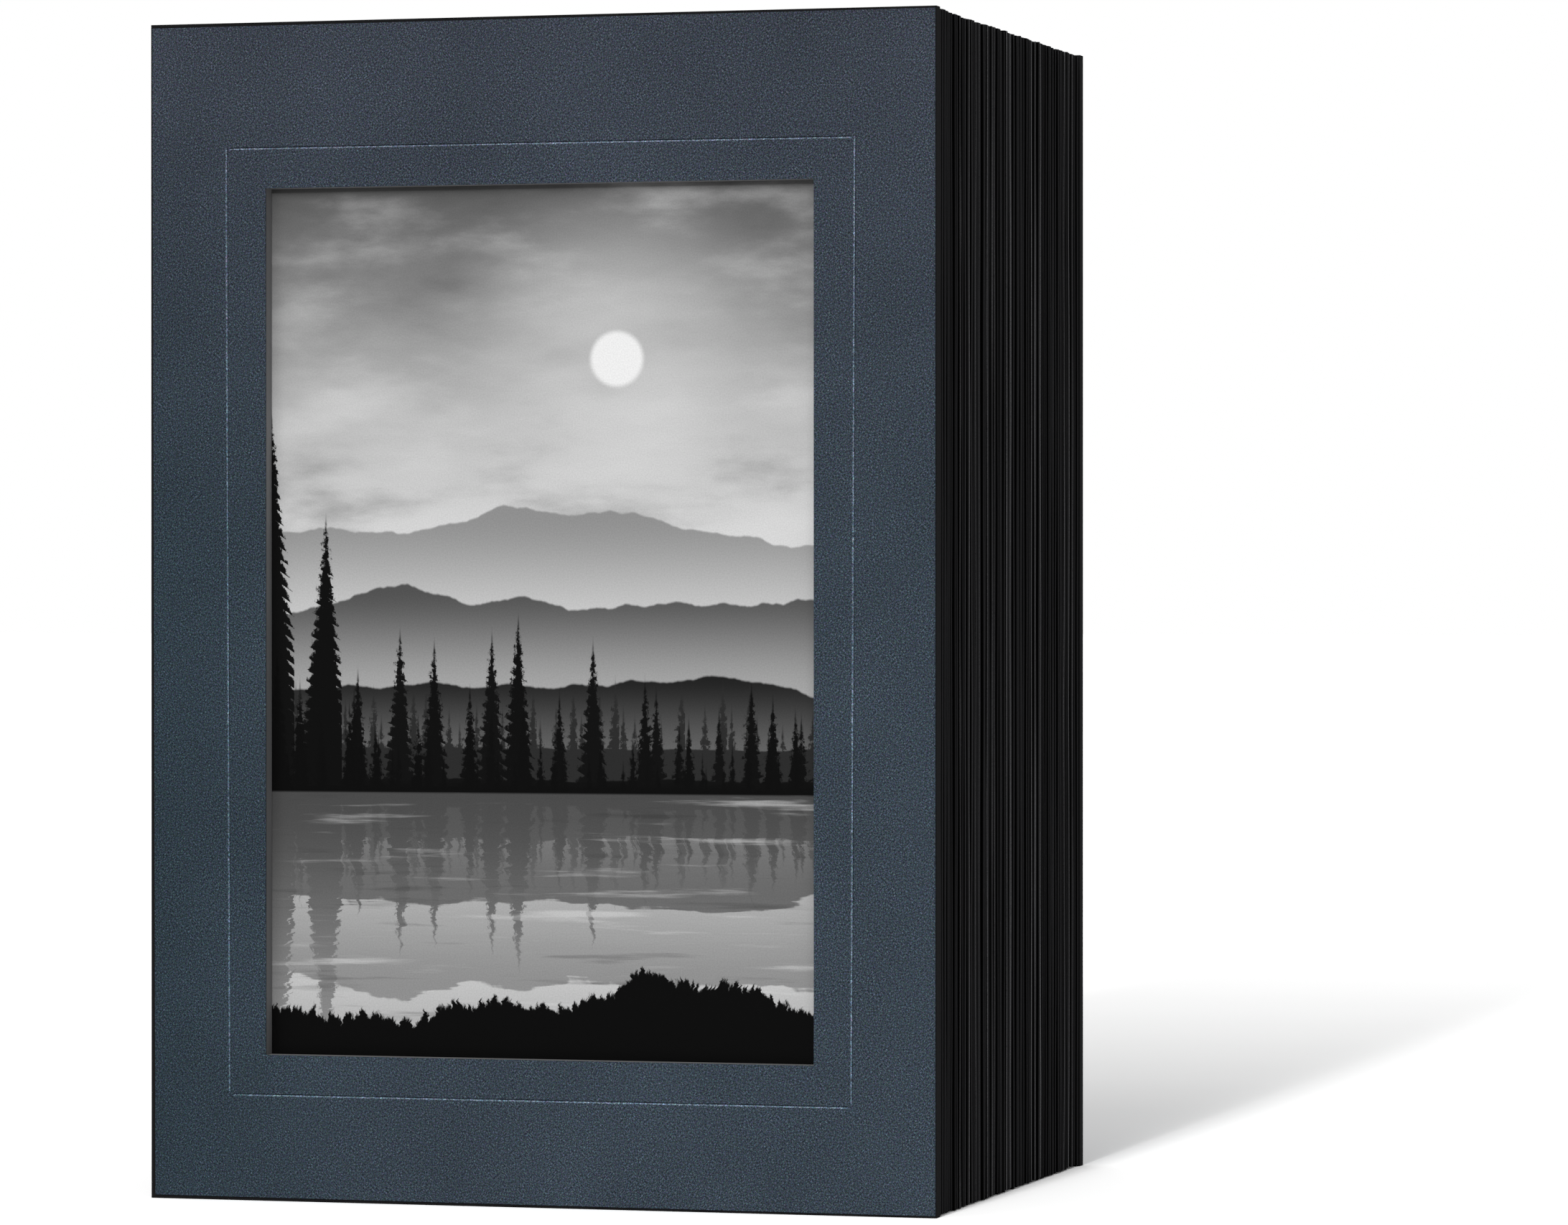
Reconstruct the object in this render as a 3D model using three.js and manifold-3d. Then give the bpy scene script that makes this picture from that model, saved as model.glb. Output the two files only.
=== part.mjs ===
// Accordion photo folder: two stiff covers joined by one long strip of card, folded like
// a concertina, with a print behind a window in the front cover.
// Millimetres, +Z up. The front cover faces -Y, and the folder stands on its lower edges.
// The origin is in the middle of the base.

import * as THREE from 'three';
import Module from 'manifold-3d';
import { mergeVertices } from 'three/addons/utils/BufferGeometryUtils.js';

const wasm = await Module();
wasm.setup();

// The print, and how far the window's rim covers its edges
const printWidth = 102;
const printHeight = 152;
const printThickness = 0.25;
const printOverlap = 2.5;

// The cover around the window
const sideMargin = 21;
const topMargin = 28.2;
const bottomMargin = 24.8;
const boardThickness = 2.5;
const boardBevel = 0.15;

// The coloured paper glued on each cover, cut a little smaller than its board. The front
// sheet lies almost flush at the right, and the skew is how far out of square it is laid.
const paperThickness = 0.3;
const paperInset = 0.65;
const paperRightInset = 0.12;
const paperSkew = 0.25;

// The blind line pressed into the front paper around the window: four strokes whose ends
// stop just short of the corners, with the side strokes leaning in towards the bottom
const lineOffset = 6.8;
const lineWidth = 0.45;
const lineFloorWidth = 0.06;
const lineDepth = 0.16;
const lineLean = 0.3;
const lineStop = 0.6;
const lineOvershoot = 0.2;

// The pocket behind the front board: a U of adhesive strip, open at the top
const pocketDepth = 0.35;
const glueWidth = 6;
const glueClearance = 0.5;

// The card strip: each fold at the right joins two leaves. A fold lies a little behind
// the boards' side edges, and the leaves' ends are trimmed a little unevenly.
const foldCount = 68;
const stripDepth = 93.57;
const leafThickness = 0.42;
const leafScatter = 0.7;
const foldSetback = 0.15;
const foldScatter = 0.4;
const trimSetback = 0.05;
const trimScatter = 0.45;
const arcSteps = 4;

// Sizes that follow
const windowWidth = printWidth - 2 * printOverlap;
const windowHeight = printHeight - 2 * printOverlap;
const boardWidth = windowWidth + 2 * sideMargin;
const boardHeight = windowHeight + topMargin + bottomMargin;
const windowTop = bottomMargin + windowHeight;
const leafCount = 2 * Math.round(foldCount);
const leafPitch = (stripDepth - leafThickness) / (leafCount - 1);
const leafGap = leafPitch - leafThickness;
const folderDepth = 2 * (paperThickness + boardThickness) + pocketDepth + stripDepth;

// Where each layer starts, from the front
const frontPaperY = -folderDepth / 2;
const frontBoardY = frontPaperY + paperThickness;
const pocketY = frontBoardY + boardThickness;
const stripY = pocketY + pocketDepth;
const backBoardY = stripY + stripDepth;
const backPaperY = backBoardY + boardThickness;

const folder = new THREE.Group();

function addPiece(name, geometry, color, roughness) {
  const material = new THREE.MeshStandardMaterial({ color, roughness, metalness: 0, flatShading: true });
  const piece = new THREE.Mesh(geometry, material);
  piece.name = name;
  folder.add(piece);
}

// A flat sheet whose outline is drawn in X and Z, with its front face at y
function sheet(points, y, thickness, bevel = 0) {
  const outline = new THREE.Shape(points.map(([x, z]) => new THREE.Vector2(x, z)));
  const options = { depth: thickness - 2 * bevel, bevelEnabled: bevel > 0, bevelSegments: 1 };
  Object.assign(options, { bevelThickness: bevel, bevelSize: bevel, bevelOffset: -bevel });
  const geometry = new THREE.ExtrudeGeometry(outline, options);
  return geometry.rotateX(Math.PI / 2).translate(0, y + thickness - bevel, 0);
}

function rectangle(left, bottom, right, top) {
  return [[left, bottom], [right, bottom], [right, top], [left, top]];
}

function solidOf(geometry) {
  geometry.deleteAttribute('normal');
  geometry.deleteAttribute('uv');
  const merged = mergeVertices(geometry);
  const vertProperties = merged.attributes.position.array;
  const triVerts = Uint32Array.from(merged.index.array);
  return new wasm.Manifold(new wasm.Mesh({ numProp: 3, vertProperties, triVerts }));
}

function geometryOf(solid) {
  const mesh = solid.getMesh();
  const geometry = new THREE.BufferGeometry();
  geometry.setAttribute('position', new THREE.BufferAttribute(mesh.vertProperties, 3));
  geometry.setIndex(new THREE.BufferAttribute(mesh.triVerts, 1));
  geometry.computeVertexNormals();
  return geometry;
}

// The tool that cuts the window through the front paper and the board
function windowCutter() {
  const outline = rectangle(-windowWidth / 2, bottomMargin, windowWidth / 2, windowTop);
  const reach = 1;
  return solidOf(sheet(outline, frontPaperY - reach, paperThickness + boardThickness + 2 * reach));
}

// The tool that presses one straight stroke, from one point of the front face to another
function strokeCutter(start, end) {
  const from = new THREE.Vector3(start[0], frontPaperY, start[1]);
  const along = new THREE.Vector3(end[0], frontPaperY, end[1]).sub(from);
  const length = along.length();
  along.normalize();
  const inward = new THREE.Vector3(0, 1, 0);
  const across = new THREE.Vector3().crossVectors(inward, along);
  const flare = (lineWidth - lineFloorWidth) / 2;
  const section = new THREE.Shape([
    new THREE.Vector2(-lineWidth / 2 - flare, -lineDepth),
    new THREE.Vector2(lineWidth / 2 + flare, -lineDepth),
    new THREE.Vector2(lineFloorWidth / 2, lineDepth),
    new THREE.Vector2(-lineFloorWidth / 2, lineDepth),
  ]);
  const geometry = new THREE.ExtrudeGeometry(section, { depth: length, bevelEnabled: false });
  const place = new THREE.Matrix4().makeBasis(across, inward, along).setPosition(from);
  return solidOf(geometry.applyMatrix4(place));
}

// The four strokes of the blind line: left, right, top and bottom
function blindLine() {
  const side = windowWidth / 2 + lineOffset;
  const low = bottomMargin - lineOffset;
  const high = windowTop + lineOffset;
  const strokes = [-1, 1].map((hand) => strokeCutter(
    [hand * (side - lineLean), low + lineStop],
    [hand * (side + lineLean), high + lineOvershoot],
  ));
  const reach = side - lineStop;
  strokes.push(strokeCutter([-reach - lineLean, high], [reach + lineLean, high]));
  strokes.push(strokeCutter([-reach + lineLean, low], [reach - lineLean, low]));
  return strokes;
}

function frontPaper() {
  const half = boardWidth / 2;
  const outline = [
    [-half + paperInset + paperSkew, paperInset],
    [half - paperRightInset, paperInset - paperSkew],
    [half - paperRightInset, boardHeight - paperInset + paperSkew],
    [-half + paperInset - paperSkew, boardHeight - paperInset],
  ];
  let paper = solidOf(sheet(outline, frontPaperY, paperThickness)).subtract(windowCutter());
  for (const stroke of blindLine()) paper = paper.subtract(stroke);
  return geometryOf(paper);
}

const boardOutline = rectangle(-boardWidth / 2, 0, boardWidth / 2, boardHeight);

function frontBoard() {
  const board = solidOf(sheet(boardOutline, frontBoardY, boardThickness, boardBevel));
  return geometryOf(board.subtract(windowCutter()));
}

// The print stands in the pocket on the lower glue strip, against the board's back
const printBottom = bottomMargin - printOverlap;

function print() {
  const outline = rectangle(-printWidth / 2, printBottom, printWidth / 2, printBottom + printHeight);
  return sheet(outline, pocketY, printThickness);
}

function glueStrip() {
  const inner = printWidth / 2 + glueClearance;
  const outer = inner + glueWidth;
  const top = printBottom + printHeight;
  const outline = [
    [-outer, printBottom - glueWidth], [outer, printBottom - glueWidth], [outer, top], [inner, top],
    [inner, printBottom], [-inner, printBottom], [-inner, top], [-outer, top],
  ];
  return sheet(outline, pocketY, pocketDepth);
}

// A number from 0 to 1 that looks random but is the same on every run
function scatter(index, salt) {
  const wave = Math.sin(index * 12.9898 + salt * 78.233) * 43758.5453;
  return wave - Math.floor(wave);
}

// Where a leaf's middle lies at one of its ends. The two glued leaves lie flat.
function leafY(leaf, salt) {
  const middle = stripY + leafThickness / 2 + leaf * leafPitch;
  const loose = leaf > 0 && leaf < leafCount - 1;
  return loose ? middle + (scatter(leaf, salt) - 0.5) * leafScatter * leafGap : middle;
}

function leafEnds(leaf) {
  const bottom = trimSetback + trimScatter * scatter(leaf, 3);
  const top = boardHeight - trimSetback - trimScatter * scatter(leaf, 4);
  return { bottom, top };
}

// The strip is followed from leaf to leaf. Each station has a point on the left and on the
// right of the way, at the leaf's lower and upper end.
function stripStations() {
  const stations = [];
  const endX = boardWidth / 2 - foldSetback - leafPitch;
  const addEnd = (leaf, salt) => {
    const y = leafY(leaf, salt);
    const way = leaf % 2 === 0 ? 1 : -1;
    const left = [-endX, y + way * leafThickness / 2];
    const right = [-endX, y - way * leafThickness / 2];
    stations.push({ left, right, ...leafEnds(leaf) });
  };
  addEnd(0, 1);
  for (let leaf = 0; leaf < leafCount - 1; leaf++) {
    const atRight = leaf % 2 === 0;
    const side = atRight ? 1 : -1;
    const salt = atRight ? 2 : 1;
    const front = leafY(leaf, salt);
    const back = leafY(leaf + 1, salt);
    const radius = (back - front) / 2;
    const outer = radius + leafThickness / 2;
    const inner = radius - leafThickness / 2;
    const reach = boardWidth / 2 - foldSetback - foldScatter * scatter(leaf, 5);
    const near = leafEnds(leaf);
    const far = leafEnds(leaf + 1);
    for (let step = 0; step <= arcSteps; step++) {
      const share = step / arcSteps;
      const angle = (share - 0.5) * Math.PI;
      const point = (r) => [
        side * (reach - outer + r * Math.cos(angle)), (front + back) / 2 + r * Math.sin(angle),
      ];
      const bottom = THREE.MathUtils.lerp(near.bottom, far.bottom, share);
      const top = THREE.MathUtils.lerp(near.top, far.top, share);
      const left = point(atRight ? inner : outer);
      const right = point(atRight ? outer : inner);
      stations.push({ left, right, bottom, top });
    }
  }
  addEnd(leafCount - 1, 1);
  return stations;
}

function accordionStrip() {
  const positions = [];
  const faces = [];
  const stations = stripStations();
  for (const { left, right, bottom, top } of stations) {
    positions.push(...left, bottom, ...left, top, ...right, bottom, ...right, top);
  }
  for (let station = 0; station < stations.length - 1; station++) {
    const [lb, lt, rb, rt] = [0, 1, 2, 3].map((corner) => 4 * station + corner);
    const [lb2, lt2, rb2, rt2] = [4, 5, 6, 7].map((corner) => 4 * station + corner);
    faces.push(lb, lt, lt2, lb, lt2, lb2);
    faces.push(rb, rt2, rt, rb, rb2, rt2);
    faces.push(lt, rt, rt2, lt, rt2, lt2);
    faces.push(lb, rb2, rb, lb, lb2, rb2);
  }
  const last = 4 * (stations.length - 1);
  faces.push(0, 2, 3, 0, 3, 1);
  faces.push(last, last + 3, last + 2, last, last + 1, last + 3);
  const geometry = new THREE.BufferGeometry();
  geometry.setAttribute('position', new THREE.Float32BufferAttribute(positions, 3));
  geometry.setIndex(faces);
  geometry.computeVertexNormals();
  return geometry;
}

function backPaper() {
  const half = boardWidth / 2 - paperInset;
  return sheet(rectangle(-half, paperInset, half, boardHeight - paperInset), backPaperY, paperThickness);
}

const slate = 0x3a434c;
const black = 0x191a1c;

addPiece('front_face_paper', frontPaper(), slate, 0.85);
addPiece('front_board', frontBoard(), black, 0.8);
addPiece('photo_print', print(), 0x8a8a8a, 0.55);
addPiece('pocket_glue_strip', glueStrip(), 0x2a2a2a, 0.6);
addPiece('accordion_strip', accordionStrip(), black, 0.85);
addPiece('back_board', sheet(boardOutline, backBoardY, boardThickness, boardBevel), black, 0.8);
addPiece('back_face_paper', backPaper(), slate, 0.85);

export default folder;
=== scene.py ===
"""Looks of an upright accordion photo folder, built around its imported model. Metres, +Z up."""
import math

import bpy
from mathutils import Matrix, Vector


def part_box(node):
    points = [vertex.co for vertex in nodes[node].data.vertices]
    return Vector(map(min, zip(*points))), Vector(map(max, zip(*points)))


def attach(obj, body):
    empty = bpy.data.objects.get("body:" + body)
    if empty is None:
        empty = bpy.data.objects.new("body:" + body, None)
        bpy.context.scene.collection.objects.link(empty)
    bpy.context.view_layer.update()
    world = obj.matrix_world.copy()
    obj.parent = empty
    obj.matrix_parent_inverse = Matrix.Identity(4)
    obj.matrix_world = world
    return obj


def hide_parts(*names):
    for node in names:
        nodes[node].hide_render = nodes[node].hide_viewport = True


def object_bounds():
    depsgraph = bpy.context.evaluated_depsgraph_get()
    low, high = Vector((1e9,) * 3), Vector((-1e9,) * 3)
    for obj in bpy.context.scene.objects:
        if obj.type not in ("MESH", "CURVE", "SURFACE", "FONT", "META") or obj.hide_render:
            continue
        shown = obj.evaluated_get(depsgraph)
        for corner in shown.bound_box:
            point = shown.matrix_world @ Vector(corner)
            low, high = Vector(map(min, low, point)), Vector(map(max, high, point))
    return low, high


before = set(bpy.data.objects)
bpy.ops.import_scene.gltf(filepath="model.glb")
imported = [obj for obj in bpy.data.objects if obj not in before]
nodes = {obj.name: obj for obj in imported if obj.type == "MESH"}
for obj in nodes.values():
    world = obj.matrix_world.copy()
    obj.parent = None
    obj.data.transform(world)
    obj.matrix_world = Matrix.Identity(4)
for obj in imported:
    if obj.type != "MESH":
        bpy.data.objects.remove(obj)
cad_low, cad_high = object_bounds()

# Cover boards. Two sheets of binder's board, 2.5 mm thick, faced with black paper and cut to
# size in one stroke of a guillotine. The front one has its window cut after the facing, so
# the grey core shows in the cut.
MM = 0.001
BOARD_BLACK = "#151516"
BOARD_SCUFF = "#232324"
BOARD_CORE = "#8b8b8c"
# Real fibres are finer. These are drawn as coarse as they need to be to show
BOARD_FIBRE = 0.5 * MM
FACING_RELIEF = 0.02 * MM
# How far outside the window's edge the cut starts and ends to show the core
CUT_EDGE = (0.05 * MM, 0.02 * MM)
WINDOW_LOW = (-48.5 * MM, 24.8 * MM)
WINDOW_HIGH = (48.5 * MM, 171.8 * MM)


def linear(colour):
    """The linear colour and alpha of an sRGB hex value."""
    parts = [int(colour[at : at + 2], 16) / 255 for at in (1, 3, 5)]
    curve = [p / 12.92 if p <= 0.04045 else ((p + 0.055) / 1.055) ** 2.4 for p in parts]
    return (*curve, 1.0)


def add(tree, kind, inputs=None, **settings):
    """Adds a node. An input is a plain value, or the output of another node to link."""
    node = tree.nodes.new("ShaderNode" + kind)
    for name, value in settings.items():
        setattr(node, name, value)
    for socket, value in (inputs or {}).items():
        if isinstance(value, bpy.types.NodeSocket):
            tree.links.new(value, node.inputs[socket])
        else:
            node.inputs[socket].default_value = value
    return node


def start_material(name):
    """An empty material with its node tree and the object's coordinates in metres."""
    material = bpy.data.materials.new(name)
    material.use_nodes = True
    tree = material.node_tree
    tree.nodes.clear()
    place = add(tree, "TexCoord").outputs["Object"]
    return material, tree, place


def finish_material(tree, colour, height, depth, roughness, specular):
    """A non-metal surface of one colour output and one height output, as deep as depth."""
    bump = add(tree, "Bump", {"Strength": 1.0, "Distance": depth, "Height": height})
    surface = add(tree, "BsdfPrincipled", {
        "Base Color": colour, "Normal": bump.outputs[0],
        "Roughness": roughness, "Specular IOR Level": specular,
    })
    add(tree, "OutputMaterial", {"Surface": surface.outputs[0]})


def beyond_window(tree, place):
    """How far a point lies outside the window's edge: negative inside it, in metres."""
    split = add(tree, "SeparateXYZ", {0: place})
    reach = []
    for axis, low, high in zip("XZ", WINDOW_LOW, WINDOW_HIGH):
        middle = add(tree, "Math", {0: split.outputs[axis], 1: (low + high) / 2}, operation="SUBTRACT")
        away = add(tree, "Math", {0: middle.outputs[0]}, operation="ABSOLUTE")
        past = add(tree, "Math", {0: away.outputs[0], 1: (high - low) / 2}, operation="SUBTRACT")
        reach.append(past.outputs[0])
    return add(tree, "Math", {0: reach[0], 1: reach[1]}, operation="MAXIMUM").outputs[0]


def black_faced_board():
    """Black facing paper over grey board: uncoated and calendered, so almost without gloss."""
    material, tree, place = start_material("black_faced_board")
    fibre = add(tree, "TexNoise", {
        "Vector": place, "Scale": 1 / BOARD_FIBRE, "Detail": 4.0, "Roughness": 0.6,
    })
    facing = add(tree, "Mix", {
        "Factor": fibre.outputs["Fac"], "A": linear(BOARD_BLACK), "B": linear(BOARD_SCUFF),
    }, data_type="RGBA")
    cut = add(tree, "MapRange", {
        "Value": beyond_window(tree, place), "From Min": CUT_EDGE[0], "From Max": CUT_EDGE[1],
    })
    colour = add(tree, "Mix", {
        "Factor": cut.outputs[0], "A": facing.outputs["Result"], "B": linear(BOARD_CORE),
    }, data_type="RGBA")
    finish_material(
        tree, colour.outputs["Result"], fibre.outputs["Fac"], FACING_RELIEF,
        roughness=0.8, specular=0.02,
    )
    return material


board_material = black_faced_board()
for name in ("front_board", "back_board"):
    nodes[name].material_slots[0].material = board_material

# Cover papers. A sheet of dyed, felt-marked paper glued on each board and trimmed a little
# inside its edge. A rule is pressed into the front one around the window. Its line is painted
# paler than the sheet, partly for its burnished fibres and partly as a painted highlight,
# with painted shade on its walls that face left or down.
SLATE_HIGH = "#3e444e"
SLATE_LOW = "#3c4650"
# Painted shade: the sheet is painted darker down its left side, most of all in its lower part
SLATE_SHADED = "#323e47"
# The share of the sheet's width, from its left, that the painted shade down that side fades
# over, and the share of its height where the bluer dye starts to give way
SHADE_SHARE = 0.33
BLUE_SHARE = 0.55
DYE_CLOUD = 26 * MM
DYE_CLOUDING = 0.5
# Real fibres are finer here too, and these are drawn as wide as they need to be to show
FIBRE_WIDTH = 0.185 * MM
FIBRE_STRETCH = 1.7
FIBRE_SLANT = math.radians(42)
FELT_PATCH = 7 * MM
# The band of the noise in which one way of the fibres gives way to the other, and the least and
# the greatest share of the second way
PATCH_BAND = (0.4, 0.6)
WAY_SHARES = (0.2, 0.8)
FIBRE_CONTRAST = 65.0
FIBRE_DYE_DRIFT = (1.2, 0.95, 0.85)
# Painted light on the pressed line: how many times paler its floor and the walls facing right or up are
# painted, and the share of the sheet's colour left on the walls facing left or down
LINE_SHINE = 3.4
LINE_SHADE = 0.42
# How far outside the window the line lies, how far its walls have sunk before the tone shows,
# and how the facing of a wall turns it from shade to shine
LINE_ZONE = (4 * MM, 10 * MM)
LINE_SUNK = (0.01 * MM, 0.03 * MM)
WALL_FACING = (-0.4, -0.2)
PAPER_RELIEF = 0.003 * MM
paper_low, paper_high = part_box("front_face_paper")


def felt_grain(tree, place):
    """The felt's mark: short crossing fibres, more of them one way in one patch than in the next."""
    ways = []
    for slant in (FIBRE_SLANT, -FIBRE_SLANT):
        turned = add(tree, "Mapping", {
            "Vector": place, "Rotation": (0, slant, 0), "Scale": (1.0, 1.0, FIBRE_STRETCH),
        }, vector_type="TEXTURE")
        fibre = add(tree, "TexNoise", {
            "Vector": turned.outputs[0], "Scale": 1 / FIBRE_WIDTH, "Detail": 0.0,
        })
        ways.append(fibre)
    patch = add(tree, "TexNoise", {"Vector": place, "Scale": 1 / FELT_PATCH, "Detail": 1.0})
    which = add(tree, "MapRange", {
        "Value": patch.outputs["Fac"], "From Min": PATCH_BAND[0], "From Max": PATCH_BAND[1],
        "To Min": WAY_SHARES[0], "To Max": WAY_SHARES[1],
    })
    level = add(tree, "Mix", {
        "Factor": which.outputs[0], "A": ways[0].outputs["Fac"], "B": ways[1].outputs["Fac"],
    }, data_type="FLOAT")
    return level.outputs[0]


def paper_tint(tree, place):
    """The dye: slate at the top, bluer below, and slightly cloudy, with painted shade darker down the left
    side.
    """
    split = add(tree, "SeparateXYZ", {0: place})
    width = paper_high.x - paper_low.x
    across = add(tree, "MapRange", {
        "Value": split.outputs["X"], "From Min": paper_low.x, "From Max": paper_low.x + SHADE_SHARE * width,
    })
    low = add(tree, "Mix", {
        "Factor": across.outputs[0], "A": linear(SLATE_SHADED), "B": linear(SLATE_LOW),
    }, data_type="RGBA")
    tall = paper_high.z - paper_low.z
    upward = add(tree, "MapRange", {
        "Value": split.outputs["Z"],
        "From Min": paper_low.z + BLUE_SHARE * tall, "From Max": paper_high.z,
    })
    tint = add(tree, "Mix", {
        "Factor": upward.outputs[0], "A": low.outputs["Result"], "B": linear(SLATE_HIGH),
    }, data_type="RGBA")
    cloud = add(tree, "TexNoise", {"Vector": place, "Scale": 1 / DYE_CLOUD, "Detail": 3.0})
    depth = add(tree, "Math", {
        0: cloud.outputs["Fac"], 1: DYE_CLOUDING, 2: 1 - DYE_CLOUDING / 2,
    }, operation="MULTIPLY_ADD")
    clouded = {0: tint.outputs["Result"], "Scale": depth.outputs[0]}
    return add(tree, "VectorMath", clouded, operation="SCALE").outputs[0]


def pressed_line(tree, place):
    """How much paler the pressed line is painted than the sheet: a painted highlight on its floor and on
    walls facing right or up, and painted shade on walls facing left or down.
    """
    split = add(tree, "SeparateXYZ", {0: place})
    sunk = add(tree, "MapRange", {
        "Value": split.outputs["Y"],
        "From Min": paper_low.y + LINE_SUNK[0], "From Max": paper_low.y + LINE_SUNK[1],
    })
    front = add(tree, "Math", {0: split.outputs["Y"], 1: paper_high.y}, operation="LESS_THAN")
    outside = beyond_window(tree, place)
    near = add(tree, "Math", {0: outside, 1: LINE_ZONE[0]}, operation="GREATER_THAN")
    far = add(tree, "Math", {0: outside, 1: LINE_ZONE[1]}, operation="LESS_THAN")
    zone = add(tree, "Math", {0: near.outputs[0], 1: far.outputs[0]}, operation="MULTIPLY")
    groove = add(tree, "Math", {0: front.outputs[0], 1: sunk.outputs[0]}, operation="MULTIPLY")
    mask = add(tree, "Math", {0: zone.outputs[0], 1: groove.outputs[0]}, operation="MULTIPLY")
    facing = add(tree, "SeparateXYZ", {0: add(tree, "NewGeometry").outputs["True Normal"]})
    away = add(tree, "Math", {0: facing.outputs["X"], 1: facing.outputs["Z"]}, operation="MINIMUM")
    pressed = add(tree, "MapRange", {
        "Value": away.outputs[0], "From Min": WALL_FACING[0], "From Max": WALL_FACING[1],
        "To Min": LINE_SHADE, "To Max": LINE_SHINE,
    })
    level = add(tree, "Mix", {
        "Factor": mask.outputs[0], "A": 1.0, "B": pressed.outputs[0],
    }, data_type="FLOAT")
    return level.outputs[0]


def felt_marked_paper():
    """Dyed felt-marked paper: fine slanting fibres that took up the dye unevenly, and no gloss."""
    material, tree, place = start_material("felt_marked_paper")
    grain = felt_grain(tree, place)
    centred = add(tree, "Math", {0: grain, 1: 0.5}, operation="SUBTRACT")
    fibre = add(tree, "Math", {0: FIBRE_CONTRAST, 1: centred.outputs[0]}, operation="POWER")
    level = add(tree, "Math", {0: fibre.outputs[0], 1: pressed_line(tree, place)}, operation="MULTIPLY")
    shaded = add(tree, "VectorMath", {
        0: paper_tint(tree, place), "Scale": level.outputs[0],
    }, operation="SCALE")
    uneven = add(tree, "TexNoise", {"Vector": place, "Scale": 1 / FIBRE_WIDTH, "Detail": 0.0})
    drift = add(tree, "VectorMath", {
        0: uneven.outputs["Color"], 1: FIBRE_DYE_DRIFT, 2: [1 - share / 2 for share in FIBRE_DYE_DRIFT],
    }, operation="MULTIPLY_ADD")
    colour = add(tree, "VectorMath", {0: shaded.outputs[0], 1: drift.outputs[0]}, operation="MULTIPLY")
    finish_material(tree, colour.outputs[0], grain, PAPER_RELIEF, roughness=0.9, specular=0.03)
    return material


paper_material = felt_marked_paper()
for name in ("front_face_paper", "back_face_paper"):
    nodes[name].material_slots[0].material = paper_material

# Print. A black-and-white photographic print on lustre paper, standing in the pocket behind
# the window. It shows hills and firs across a still lake, made up for this folder. Heights
# and places in it are shares of the print.
print_low, print_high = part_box("photo_print")
SKY_HIGH = "#606060"
SKY_LOW = "#e6e6e6"
SKY_FADE = (0.50, 1.02)
CLOUD_PALE = "#efefef"
CLOUD_DARK = "#303030"
CLOUD_STRENGTH = 0.45
SUN = (0.63, 0.79)
SUN_RADIUS = 0.045
SUN_EDGE = 0.006
SUN_DISC = "#fafafa"
SUN_GLOW = "#ececec"
GLOW_FADE = (0.34, 0.03)
GLOW_STRENGTH = 0.5
# Each hill from the farthest: crest, swell, waves across, colour at the crest and at its
# misty foot, and how high the mist stands
HILLS = (
    (0.60, 0.10, 1.7, "#959595", "#dadada", 0.13),
    (0.52, 0.08, 2.6, "#545454", "#b4b4b4", 0.12),
    (0.43, 0.05, 3.1, "#1e1e1e", "#6e6e6e", 0.10),
)
HILL_EDGE = 0.0016
# Each row of firs from the farthest: foot, height, trees across, and colour
FIR_ROWS = (
    (0.36, 0.075, 43.0, "#2c2c2c"),
    (0.325, 0.42, 7.0, "#0a0a0a"),
    (0.322, 0.33, 9.0, "#070707"),
    (0.318, 0.16, 21.0, "#050505"),
    (0.315, 0.10, 33.0, "#040404"),
)
# A fir's least share of the height of its row, how wide it spreads below its top, how many
# tiers of branches the print's height would hold, how many of them apart two firs can start,
# and how far a bough strays
FIR_LEAST = 0.3
FIR_SPREAD = 0.15
FIR_TIERS = 75.0
FIRST_TIERS = 9.0
BOUGH_STRAY = 0.034
FIR_EDGE = 0.002
# Where across the print the near rows are lowest, their share of their height there, and how
# much they gain over the print's width
BAY = 0.66
BAY_SHARE = 0.35
BAY_GAIN = 1.2
BANK_SWELL = 0.02
BANK_EDGE = 0.001
SHORE = 0.31
SHORE_EDGE = 0.0015
# How far the ripples shift what the lake mirrors
MIRROR_STIR = 0.03
LAKE_SHEEN = "#cccccc"
SHEEN_FAR = 0.12
SHEEN_GAIN = 0.36
GLINT = "#f0f0f0"
GLINT_STRENGTH = 0.40
TROUGH = "#2a2a2a"
TROUGH_STRENGTH = 0.35
REEDS = "#040404"
REED_HEIGHT = 0.06
REED_EDGE = 0.002
# Painted shade: the print is painted darker at its rim, near the window's edge
RIM_SHADE = 0.85
RIM_REACH = 2.6 * MM
# Real film grain is finer. This is drawn as coarse as it needs to be to show
FILM_GRAIN = 0.25 * MM
FILM_CONTRAST = 0.3
PEBBLE = 0.6 * MM
PEBBLE_RELIEF = 0.01 * MM


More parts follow.
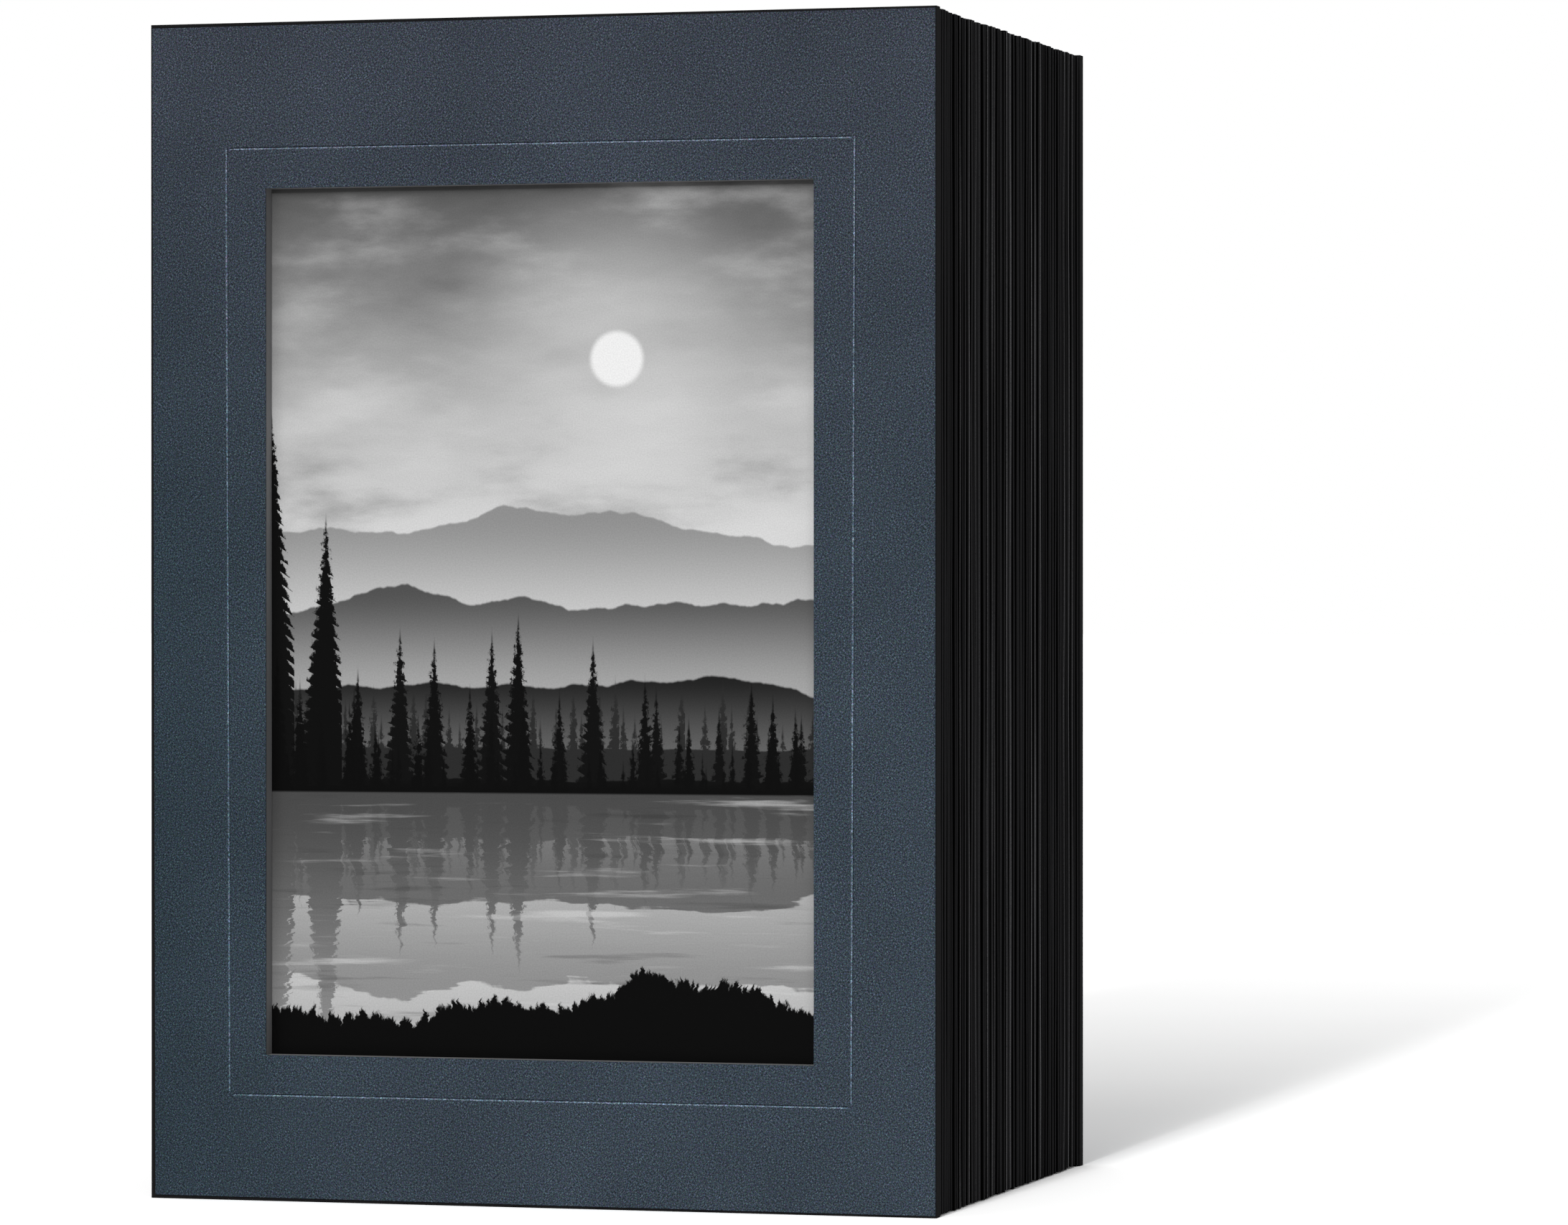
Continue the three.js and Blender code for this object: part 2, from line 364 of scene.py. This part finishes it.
def lustre_print():
    """Resin-coated lustre print: a smooth, faintly pebbled skin over a grey-scale picture."""
    material, tree, place = start_material("lustre_print")

    def maths(operation, *values):
        return add(tree, "Math", dict(enumerate(values)), operation=operation).outputs[0]

    def ease(value, start, end):
        """0 at start, 1 at end, with a soft step between: an edge, if they lie close together."""
        inputs = {"Value": value, "From Min": start, "From Max": end}
        return add(tree, "MapRange", inputs, interpolation_type="SMOOTHSTEP").outputs[0]

    def over(under, colour, mask):
        """Lays a colour on the picture where the mask is 1."""
        inputs = {"Factor": mask, "A": under, "B": colour}
        return add(tree, "Mix", inputs, data_type="RGBA").outputs["Result"]

    def noise(x, z, scale, detail, roughness=0.5):
        """The level of a noise at one point of a plane."""
        where = add(tree, "CombineXYZ", {"X": x, "Z": z})
        inputs = {"Vector": where.outputs[0], "Scale": scale, "Detail": detail, "Roughness": roughness}
        return add(tree, "TexNoise", inputs).outputs["Fac"]

    def inside_firs(x, foot, tall, crowd):
        """How far a point lies inside a row of firs: spires whose branches step outwards."""
        trees = add(tree, "TexVoronoi", {"W": x, "Scale": crowd, "Randomness": 0.7}, voronoi_dimensions="1D")
        chance = add(tree, "SeparateColor", {0: trees.outputs["Color"]}).outputs["Red"]
        trunk = maths("DIVIDE", trees.outputs["Distance"], crowd)
        height = maths("MULTIPLY", maths("MULTIPLY_ADD", chance, 1 - FIR_LEAST, FIR_LEAST), tall)
        drop = maths("SUBTRACT", maths("ADD", height, foot), up)
        first_tier = maths("MULTIPLY", chance, FIRST_TIERS)
        tier = maths("FRACT", maths("MULTIPLY_ADD", drop, FIR_TIERS, first_tier))
        widening = maths("MULTIPLY_ADD", tier, 0.5 * FIR_SPREAD, 0.75 * FIR_SPREAD)
        spread = maths("MULTIPLY", drop, widening)
        needles = noise(x, up, 140.0, 4.0, 0.75)
        ragged = maths("MULTIPLY_ADD", needles, BOUGH_STRAY, -BOUGH_STRAY / 2)
        bough = maths("MULTIPLY", ragged, ease(drop, 0.0, 0.03))
        return maths("ADD", maths("SUBTRACT", spread, trunk), bough)

    size = print_high - print_low
    split = add(tree, "SeparateXYZ", {0: place})
    across = maths("DIVIDE", maths("SUBTRACT", split.outputs["X"], print_low.x), size.x)
    height = maths("DIVIDE", maths("SUBTRACT", split.outputs["Z"], print_low.z), size.z)
    lake = ease(height, SHORE + SHORE_EDGE, SHORE - SHORE_EDGE)
    ripple = noise(maths("MULTIPLY", across, 2.0), maths("MULTIPLY", height, 55.0), 1.3, 4.0, 0.6)
    stir = maths("MULTIPLY_ADD", ripple, MIRROR_STIR, -MIRROR_STIR / 2)
    across = maths("MULTIPLY_ADD", stir, lake, across)
    sunk = maths("ABSOLUTE", maths("SUBTRACT", height, SHORE))
    up = maths("ADD", maths("MULTIPLY_ADD", stir, lake, sunk), SHORE)

    picture = over(linear(SKY_LOW), linear(SKY_HIGH), ease(up, *SKY_FADE))
    cloud = noise(across, maths("MULTIPLY", up, 4.5), 2.6, 6.0, 0.55)
    pale = maths("MULTIPLY", ease(cloud, 0.46, 0.78), CLOUD_STRENGTH)
    picture = over(picture, linear(CLOUD_PALE), pale)
    dark = maths("MULTIPLY", ease(cloud, 0.50, 0.25), CLOUD_STRENGTH)
    picture = over(picture, linear(CLOUD_DARK), dark)
    sun_x = maths("SUBTRACT", across, SUN[0])
    sun_z = maths("MULTIPLY", maths("SUBTRACT", up, SUN[1]), size.z / size.x)
    from_sun = maths("SQRT", maths("ADD", maths("POWER", sun_x, 2.0), maths("POWER", sun_z, 2.0)))
    glow = maths("MULTIPLY", ease(from_sun, *GLOW_FADE), GLOW_STRENGTH)
    picture = over(picture, linear(SUN_GLOW), glow)
    disc = ease(from_sun, SUN_RADIUS + SUN_EDGE, SUN_RADIUS - SUN_EDGE)
    picture = over(picture, linear(SUN_DISC), disc)

    # Each hill and each row is drawn from another stretch of the same noise
    for number, (crest, swell, waves, top, foot, mist) in enumerate(HILLS):
        drawn = maths("ADD", across, 3.7 * number + 0.4)
        line = maths("MULTIPLY_ADD", noise(drawn, 0.0, waves, 6.0, 0.5), 2 * swell, crest - swell)
        below = maths("SUBTRACT", line, up)
        tone = over(linear(top), linear(foot), ease(up, crest + 0.25 * swell, crest - mist))
        picture = over(picture, tone, ease(below, -HILL_EDGE, HILL_EDGE))
    from_bay = maths("ABSOLUTE", maths("SUBTRACT", across, BAY))
    for number, (foot, tall, crowd, tone) in enumerate(FIR_ROWS):
        drawn = maths("ADD", across, 5.3 * number + 1.9)
        grown = maths("MULTIPLY_ADD", from_bay, BAY_GAIN * tall, BAY_SHARE * tall) if number else tall
        edge = inside_firs(drawn, foot, grown, crowd)
        picture = over(picture, linear(tone), ease(edge, -FIR_EDGE, FIR_EDGE))
        ground = noise(drawn, 0.0, 6.0, 5.0, 0.6)
        bank = maths("MULTIPLY_ADD", ground, BANK_SWELL, foot - BANK_SWELL / 2)
        under = maths("SUBTRACT", bank, up)
        picture = over(picture, linear(tone), ease(under, -BANK_EDGE, BANK_EDGE))

    nearness = maths("MULTIPLY_ADD", ease(height, SHORE, 0.0), SHEEN_GAIN, SHEEN_FAR)
    picture = over(picture, linear(LAKE_SHEEN), maths("MULTIPLY", lake, nearness))
    glint = maths("MULTIPLY", lake, ease(ripple, 0.56, 0.74))
    picture = over(picture, linear(GLINT), maths("MULTIPLY", glint, GLINT_STRENGTH))
    trough = maths("MULTIPLY", lake, ease(ripple, 0.44, 0.28))
    picture = over(picture, linear(TROUGH), maths("MULTIPLY", trough, TROUGH_STRENGTH))
    tufts = noise(maths("MULTIPLY", across, 40.0), maths("MULTIPLY", height, 9.0), 1.6, 5.0, 0.7)
    rise = maths("MULTIPLY_ADD", noise(across, 0.0, 2.1, 3.0), 0.26, -0.055)
    roots = maths("SUBTRACT", rise, REED_HEIGHT / 2)
    reeds = maths("SUBTRACT", maths("MULTIPLY_ADD", tufts, REED_HEIGHT, roots), height)
    picture = over(picture, linear(REEDS), ease(reeds, -REED_EDGE, REED_EDGE))

    film = noise(split.outputs["X"], split.outputs["Z"], 1 / FILM_GRAIN, 1.0)
    # Painted shade towards the window's edge, multiplied with the film grain
    inner = maths("MULTIPLY", beyond_window(tree, place), -1.0)
    rim = add(tree, "MapRange", {
        "Value": inner, "From Max": RIM_REACH, "To Min": RIM_SHADE, "To Max": 1.0,
    }, interpolation_type="SMOOTHSTEP")
    grain = maths("MULTIPLY_ADD", film, FILM_CONTRAST, 1 - FILM_CONTRAST / 2)
    depth = maths("MULTIPLY", rim.outputs[0], grain)
    picture = add(tree, "VectorMath", {0: picture, "Scale": depth}, operation="SCALE").outputs[0]
    pebble = noise(split.outputs["X"], split.outputs["Z"], 1 / PEBBLE, 1.0)
    finish_material(tree, picture, pebble, PEBBLE_RELIEF, roughness=0.5, specular=0.03)
    return material


nodes["photo_print"].material_slots[0].material = lustre_print()

# Glue strip. A U of double-sided tape that holds the front leaf to the board's back and
# leaves a pocket open at the top. Only its thin edge can be seen, from above.
TAPE_DARK = "#26262a"
TAPE_LIGHT = "#34343a"
TAPE_RIPPLE = 2 * MM
TAPE_RELIEF = 0.02 * MM


def adhesive_tape():
    """Acrylic adhesive on a dark film: smoother and a little glossier than the papers."""
    material, tree, place = start_material("adhesive_tape")
    ripple = add(tree, "TexNoise", {"Vector": place, "Scale": 1 / TAPE_RIPPLE, "Detail": 2.0})
    colour = add(tree, "Mix", {
        "Factor": ripple.outputs["Fac"], "A": linear(TAPE_DARK), "B": linear(TAPE_LIGHT),
    }, data_type="RGBA")
    finish_material(
        tree, colour.outputs["Result"], ripple.outputs["Fac"], TAPE_RELIEF,
        roughness=0.45, specular=0.3,
    )
    return material


nodes["pocket_glue_strip"].material_slots[0].material = adhesive_tape()

# Concertina. One long strip of black card, scored and folded to and fro into 136 leaves and
# pressed. The folds don't line up quite, the leaves are trimmed a little unevenly, and each
# bends enough to touch its neighbours, so that no light comes through the block.
strip_low, strip_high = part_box("accordion_strip")
FOLDS_AT_RIGHT = 68
LEAVES = 2 * FOLDS_AT_RIGHT
LEAF = 0.42 * MM
PITCH = (strip_high.y - strip_low.y - LEAF) / (LEAVES - 1)
# The share of the gap between two leaves that an end of a leaf can stray over
LOOSENESS = 0.7
FOLD_SETBACK = 0.15 * MM
FOLD_SCATTER = 0.4 * MM
TRIM_SETBACK = 0.05 * MM
TRIM_SCATTER = 0.45 * MM
# How far from the middle of a leaf it bends to its neighbour, and the gap left there
LEAF_TOUCH = 24 * MM
LEAF_CLEARANCE = 0.01 * MM
# 1 is a round fold, and a lower power a squarer one
FOLD_SQUARENESS = 0.62
FOLD_STEPS = 12
ROWS = 13
# The long and the short wave that a fold strays in, up its height: how long they are, how far
# they stray in mm, and a whole turn of a wave
FOLD_WAVES = (14 * MM, 4.3 * MM)
FOLD_STRAYS = (0.05, 0.02)
TURN = 6.28
board_low, board_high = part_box("front_board")
# How far each step round a fold lies out of the painted shade of its groove, and the two steps that can get
# the pale rub highlight
FOLD_CRESTS = (0.0, 0.0, 0.0, 0.1, 0.65, 0.95, 1.0, 0.8, 0.4, 0.05, 0.0, 0.0, 0.0)
RUB_HIGHLIGHT_STEPS = (4, 6)
CREST_LEAST = 0.55
CREST_GAIN = 0.6
# The share of the folds that get the pale rub highlight at all, and how it comes and goes
RUB_HIGHLIGHT_SHARE = 0.4
RUB_HIGHLIGHT_WAVE = 19 * MM
RUB_HIGHLIGHT_WAVER = 0.25
# Painted shade: the colour of the card deep in the grooves between its folds
CARD_GROOVE_SHADE = "#050505"
CARD_BLACK = "#282829"
CARD_WORN = "#3e3e40"
# Partly worn card and partly a painted highlight: the pale grey line along some folds
CARD_RUB_HIGHLIGHT = "#c0c0c4"
# Finer in real card, and drawn as coarse as it needs to be to show
CARD_FIBRE = 0.13 * MM
CARD_RELIEF = 0.02 * MM
# The band of fibre noise that breaks up the pale rub highlight line, and how strong the line is at its ends
RUB_HIGHLIGHT_BREAK_BAND = (0.3, 0.7)
RUB_HIGHLIGHT_BREAK_LEVELS = (0.35, 1.3)
SHARP_CUT = math.radians(60)
# A face with a normal more upright than this is the card's cut edge, out of the folds' painted shade
CUT_FACING = 0.7
# What each number drawn for a leaf decides
(AT_LEFT, AT_RIGHT, BOTTOM_TRIM, TOP_TRIM, FOLD_REACH, LONG_PHASE, SHORT_PHASE,
 RUB_HIGHLIGHT, RUB_HIGHLIGHT_PHASE, CREST, RUB_HIGHLIGHT_STEP) = range(1, 12)


def scatter(index, salt):
    """A number from 0 to 1 that looks random and is the same on every run."""
    wave = math.sin(index * 12.9898 + salt * 78.233) * 43758.5453
    return wave - math.floor(wave)


def leaf_middle(leaf, salt):
    """Where a leaf lies at one of its ends. The two glued leaves lie flat."""
    middle = strip_low.y + LEAF / 2 + leaf * PITCH
    loose = 0 < leaf < LEAVES - 1
    return middle + (scatter(leaf, salt) - 0.5) * LOOSENESS * (PITCH - LEAF) * loose


def touching_leaf(leaf, side):
    """The two points of a leaf where it bends towards the next one, on one side of the middle."""
    neighbour = leaf + 1 if (leaf % 2 == 1) == (side > 0) else leaf - 1
    salt = AT_RIGHT if side > 0 else AT_LEFT
    between = (leaf_middle(leaf, salt) + leaf_middle(neighbour, salt)) / 2
    middle = between - (neighbour - leaf) * (LEAF / 2 + LEAF_CLEARANCE)
    half = -LEAF / 2 if leaf % 2 else LEAF / 2
    return (side * LEAF_TOUCH, middle + half), (side * LEAF_TOUCH, middle - half)


def leaf_trim(leaf):
    """The heights of a leaf's bottom and top edges, close inside the boards' own."""
    bottom = board_low.z + TRIM_SETBACK + TRIM_SCATTER * scatter(leaf, BOTTOM_TRIM)
    top = board_high.z - TRIM_SETBACK - TRIM_SCATTER * scatter(leaf, TOP_TRIM)
    return bottom, top


def fold_waver(leaf, height):
    """How far a fold strays from a straight line at a height, because no crease is perfect."""
    long_wave = math.sin(height / FOLD_WAVES[0] + TURN * scatter(leaf, LONG_PHASE))
    short_wave = math.sin(height / FOLD_WAVES[1] + TURN * scatter(leaf, SHORT_PHASE))
    return (FOLD_STRAYS[0] * long_wave + FOLD_STRAYS[1] * short_wave) * MM


def strip_stations():
    """Follows the strip from end to end: leaf, its two faces' points, trim, stray, fold step."""
    end = board_high.x - FOLD_SETBACK - PITCH
    first = leaf_middle(0, AT_LEFT)
    yield 0, (-end, first + LEAF / 2), (-end, first - LEAF / 2), leaf_trim(0), 0.0, 0
    for leaf in range(LEAVES - 1):
        at_right = leaf % 2 == 0
        side = 1 if at_right else -1
        end_salt = AT_RIGHT if at_right else AT_LEFT
        front = leaf_middle(leaf, end_salt)
        back = leaf_middle(leaf + 1, end_salt)
        outer = (back - front + LEAF) / 2
        inner = (back - front - LEAF) / 2
        reach = board_high.x - FOLD_SETBACK - FOLD_SCATTER * scatter(leaf, FOLD_REACH)
        near, far = leaf_trim(leaf), leaf_trim(leaf + 1)
        for step in range(FOLD_STEPS + 1):
            share = step / FOLD_STEPS
            angle = (share - 0.5) * math.pi
            round_x = max(math.cos(angle), 0.0) ** FOLD_SQUARENESS
            round_y = math.copysign(abs(math.sin(angle)) ** FOLD_SQUARENESS, angle)
            faces = []
            for radius in (inner, outer):
                x = side * (reach - outer + radius * round_x)
                faces.append((x, (front + back) / 2 + radius * round_y))
            if not at_right:
                faces.reverse()
            trim = [near[i] + (far[i] - near[i]) * share for i in (0, 1)]
            yield leaf, faces[0], faces[1], trim, side * round_x, step
        if leaf < LEAVES - 2:
            yield leaf, *touching_leaf(leaf + 1, side), far, 0.0, 0
            yield leaf, *touching_leaf(leaf + 1, -side), far, 0.0, 0
    last = leaf_middle(LEAVES - 1, AT_LEFT)
    tail = ((-end, last - LEAF / 2), (-end, last + LEAF / 2), leaf_trim(LEAVES - 1))
    yield LEAVES - 1, *tail, 0.0, 0


def fold_crest(leaf, step):
    """How far out of its groove's painted shade a step of a fold lies; the folds aren't all alike."""
    return FOLD_CRESTS[step] * (CREST_LEAST + CREST_GAIN * scatter(leaf, CREST))


def fold_rub_highlight(leaf, step, height):
    """How pale a step of a fold is at a height: most are black, and some carry a grey line that is partly a
    worn crease and partly a painted highlight.
    """
    if step != RUB_HIGHLIGHT_STEPS[scatter(leaf, RUB_HIGHLIGHT_STEP) < 0.5]:
        return 0.0
    rub_highlight_level = max(scatter(leaf, RUB_HIGHLIGHT) - 1 + RUB_HIGHLIGHT_SHARE, 0) / RUB_HIGHLIGHT_SHARE
    wave = math.sin(height / RUB_HIGHLIGHT_WAVE + TURN * scatter(leaf, RUB_HIGHLIGHT_PHASE))
    return rub_highlight_level * (1 - RUB_HIGHLIGHT_WAVER + RUB_HIGHLIGHT_WAVER * wave)


def concertina():
    """The strip as one closed mesh: a grid of rows up each face, joined at all its edges."""
    vertices, faces, crest, rub_highlight = [], [], [], []
    for leaf, left, right, (bottom, top), strays, step in strip_stations():
        for x, y in (left, right):
            for row in range(ROWS):
                height = bottom + (top - bottom) * row / (ROWS - 1)
                vertices.append((x + strays * fold_waver(leaf, height), y, height))
                crest.append(fold_crest(leaf, step))
                rub_highlight.append(fold_rub_highlight(leaf, step, height))
    stride = 2 * ROWS
    count = len(vertices) // stride
    for station in range(count - 1):
        left = station * stride
        right = left + ROWS
        for row in range(ROWS - 1):
            here, there = left + row, left + stride + row
            faces.append((here, here + 1, there + 1, there))
            here, there = right + row, right + stride + row
            faces.append((here, there, there + 1, here + 1))
        top = ROWS - 1
        faces.append((left + top, right + top, right + stride + top, left + stride + top))
        faces.append((left, left + stride, right + stride, right))
    for start, order in ((0, 1), ((count - 1) * stride, -1)):
        for row in range(ROWS - 1):
            quad = (start + row, start + ROWS + row, start + ROWS + row + 1, start + row + 1)
            faces.append(quad[::order])
    mesh = bpy.data.meshes.new("concertina_strip")
    mesh.from_pydata(vertices, [], faces)
    mesh.attributes.new("crest", "FLOAT", "POINT").data.foreach_set("value", crest)
    mesh.attributes.new("rub_highlight", "FLOAT", "POINT").data.foreach_set("value", rub_highlight)
    mesh.shade_smooth()
    mesh.set_sharp_from_angle(angle=SHARP_CUT)
    piece = bpy.data.objects.new("concertina_strip", mesh)
    bpy.context.scene.collection.objects.link(piece)
    return piece


def black_card():
    """Black card dyed right through and matt: painted shade dark in its grooves, and a grey line on some
    folds that is partly a worn crease, partly a painted highlight.
    """
    material, tree, place = start_material("black_card")
    fibre = add(tree, "TexNoise", {
        "Vector": place, "Scale": 1 / CARD_FIBRE, "Detail": 2.0, "Roughness": 0.6,
    })
    card = add(tree, "Mix", {
        "Factor": fibre.outputs["Fac"], "A": linear(CARD_BLACK), "B": linear(CARD_WORN),
    }, data_type="RGBA")
    crest = add(tree, "Attribute", attribute_name="crest")
    facing = add(tree, "SeparateXYZ", {0: add(tree, "NewGeometry").outputs["True Normal"]})
    upright = add(tree, "Math", {0: facing.outputs["Z"]}, operation="ABSOLUTE")
    trimmed = add(tree, "Math", {0: upright.outputs[0], 1: CUT_FACING}, operation="GREATER_THAN")
    bare = add(tree, "Math", {0: crest.outputs["Fac"], 1: trimmed.outputs[0]}, operation="MAXIMUM")
    folded = add(tree, "Mix", {
        "Factor": bare.outputs[0], "A": linear(CARD_GROOVE_SHADE), "B": card.outputs["Result"],
    }, data_type="RGBA")
    rub_highlight = add(tree, "Attribute", attribute_name="rub_highlight")
    broken = add(tree, "MapRange", {
        "Value": fibre.outputs["Fac"],
        "From Min": RUB_HIGHLIGHT_BREAK_BAND[0], "From Max": RUB_HIGHLIGHT_BREAK_BAND[1],
        "To Min": RUB_HIGHLIGHT_BREAK_LEVELS[0], "To Max": RUB_HIGHLIGHT_BREAK_LEVELS[1],
    })
    rub_highlight_level = add(tree, "Math", {0: rub_highlight.outputs["Fac"], 1: broken.outputs[0]}, operation="MULTIPLY")
    colour = add(tree, "Mix", {
        "Factor": rub_highlight_level.outputs[0], "A": folded.outputs["Result"], "B": linear(CARD_RUB_HIGHLIGHT),
    }, data_type="RGBA")
    finish_material(
        tree, colour.outputs["Result"], fibre.outputs["Fac"], CARD_RELIEF,
        roughness=0.85, specular=0.01,
    )
    return material


strip = concertina()
strip.data.materials.append(black_card())
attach(strip, "root")
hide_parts("accordion_strip")

# Studio. A white table that fades into a white background, an even white room all round, and
# a tall narrow strip light in front, made of a column of soft lamps. It throws a shadow straight
# back with crisp sides, which thins out away from the folder.
FLOOR_SIZE = 30.0
FLOOR_ALBEDO = 0.8
# The table is brighter to the camera than in the light it gives, so that it is white where it
# is lit and keeps its shadow
FLOOR_SEEN = 2.5
LAMP_SIDE = math.radians(-1)
# How many degrees above the table each lamp of the strip stands, the light that each gives the
# table, and how wide a lamp is as a share of its height
STRIP_HEIGHTS = (12.5, 14, 16, 18.2, 21.3, 25.3, 30, 35.7, 43.5, 53)
LAMP_STRENGTH = 0.073
LAMP_SOFTNESS = 0.28
ROOM_STRENGTH = 0.268


def seen(tree):
    """1 for what the camera sees, straight or through gloss and glass, and 0 for lighting."""
    path = add(tree, "LightPath")
    rays = path.outputs["Is Camera Ray"]
    for ray in ("Is Glossy Ray", "Is Transmission Ray"):
        rays = add(tree, "Math", {0: rays, 1: path.outputs[ray]}, operation="MAXIMUM").outputs[0]
    return rays


def table_top():
    """The table, with a white matt cloth."""
    half = FLOOR_SIZE / 2
    mesh = bpy.data.meshes.new("table_top")
    corners = [(-half, -half, 0), (half, -half, 0), (half, half, 0), (-half, half, 0)]
    mesh.from_pydata(corners, [], [(0, 1, 2, 3)])
    piece = bpy.data.objects.new("table_top", mesh)
    bpy.context.scene.collection.objects.link(piece)
    material, tree, _ = start_material("white_table")
    bright = add(tree, "MapRange", {"Value": seen(tree), "To Min": FLOOR_ALBEDO, "To Max": FLOOR_SEEN})
    cloth = add(tree, "BsdfDiffuse", {"Color": bright.outputs[0]})
    add(tree, "OutputMaterial", {"Surface": cloth.outputs[0]})
    mesh.materials.append(material)
    return piece


table_top()

for number, height in enumerate(STRIP_HEIGHTS):
    lamp = bpy.data.lights.new(f"strip_lamp_{number}", "SUN")
    lamp.energy = LAMP_STRENGTH / math.sin(math.radians(height))
    lamp.angle = LAMP_SOFTNESS * math.radians(height)
    fitted = bpy.data.objects.new(f"strip_lamp_{number}", lamp)
    fitted.rotation_euler = (math.radians(90 - height), 0, LAMP_SIDE)
    bpy.context.scene.collection.objects.link(fitted)

room = bpy.data.worlds.new("white_room")
room.use_nodes = True
room.node_tree.nodes.clear()
level = add(room.node_tree, "MapRange", {
    "Value": seen(room.node_tree), "To Min": ROOM_STRENGTH, "To Max": 1.0,
})
white = add(room.node_tree, "Background", {"Color": (1, 1, 1, 1), "Strength": level.outputs[0]})
add(room.node_tree, "OutputWorld", {"Surface": white.outputs[0]})
bpy.context.scene.world = room

# Camera. It stands to the right of the folder at half its height, with a long lens, and is
# shifted so that the folder lies left of the middle of the picture, as photographed.
PICTURE_WIDTH = 2184
# The focal length in pixels of a picture of that width, and the sensor's width in mm
LENS_PX = 8588
SENSOR = 36.0
CAMERA_PLACE = (341.8 * MM, cad_low.y - 979.2 * MM, 102.6 * MM)
CAMERA_TURN = math.radians(14.62)
CAMERA_DIP = math.radians(0.15)
CAMERA_SHIFT = -0.16
view = bpy.data.cameras.new("camera")
view.sensor_width = SENSOR
view.lens = LENS_PX / PICTURE_WIDTH * SENSOR
view.shift_x = CAMERA_SHIFT
view.clip_end = 100
camera = bpy.data.objects.new("camera", view)
camera.location = CAMERA_PLACE
camera.rotation_euler = (math.pi / 2 - CAMERA_DIP, 0, CAMERA_TURN)
bpy.context.scene.collection.objects.link(camera)
bpy.context.scene.camera = camera
bpy.context.scene.view_settings.view_transform = "Standard"
